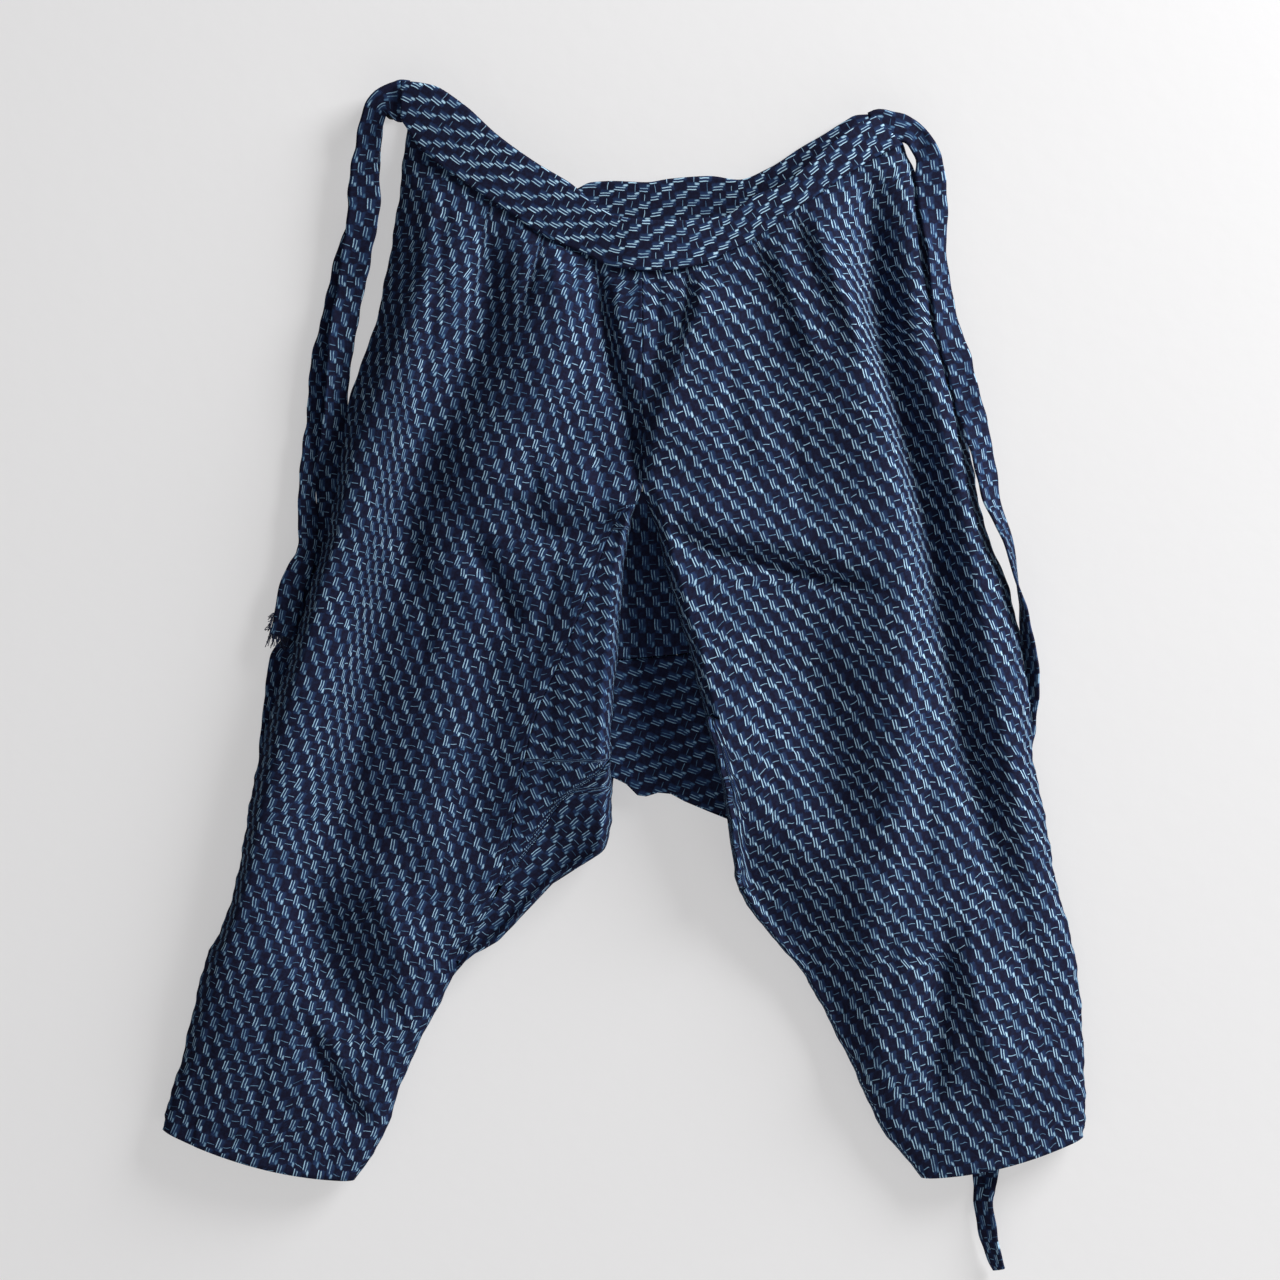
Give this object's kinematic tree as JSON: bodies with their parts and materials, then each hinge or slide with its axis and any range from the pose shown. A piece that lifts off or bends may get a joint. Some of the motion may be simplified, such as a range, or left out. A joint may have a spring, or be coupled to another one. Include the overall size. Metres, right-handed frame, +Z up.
{
  "type": "monpe work trousers",
  "caption": "Indigo kasuri cotton work trousers, hung flat, with waistbands, a folded crotch gusset, open hems and cloth ties, on wall pegs.",
  "frame": {"origin": "on the wall plane, midway between the two wall pegs that hold the waistband's ends", "axes": "+X to the viewer's right, +Y into the wall, +Z up"},
  "size_m": [0.739, 0.0485, 0.9541],
  "materials": {
    "panel_cloth": "indigo cotton with a woven light blue kasuri pattern of paired dashes, matt",
    "gusset_cloth": "the same indigo kasuri cotton, cut across for the gusset",
    "band_cloth": "the same indigo kasuri cotton, doubled for the waistbands",
    "tie_cloth": "the same indigo kasuri cotton, folded into flat straps",
    "peg_iron": "black painted iron, satin"
  },
  "bodies": {
    "root": {"front_left": "panel_cloth", "front_right": "panel_cloth", "back_left": "panel_cloth", "back_right": "panel_cloth", "gusset_front": "gusset_cloth", "gusset_under": "gusset_cloth", "gusset_right": "gusset_cloth", "gusset_back": "gusset_cloth", "crotch_upper": "gusset_cloth", "crotch_lower": "gusset_cloth", "waistband_front": "band_cloth", "waistband_back": "band_cloth", "tie_left_front": "tie_cloth", "tie_left_back": "tie_cloth", "tie_right": "tie_cloth", "hook_left": "peg_iron", "hook_right": "peg_iron"}
  },
  "joints": []
}
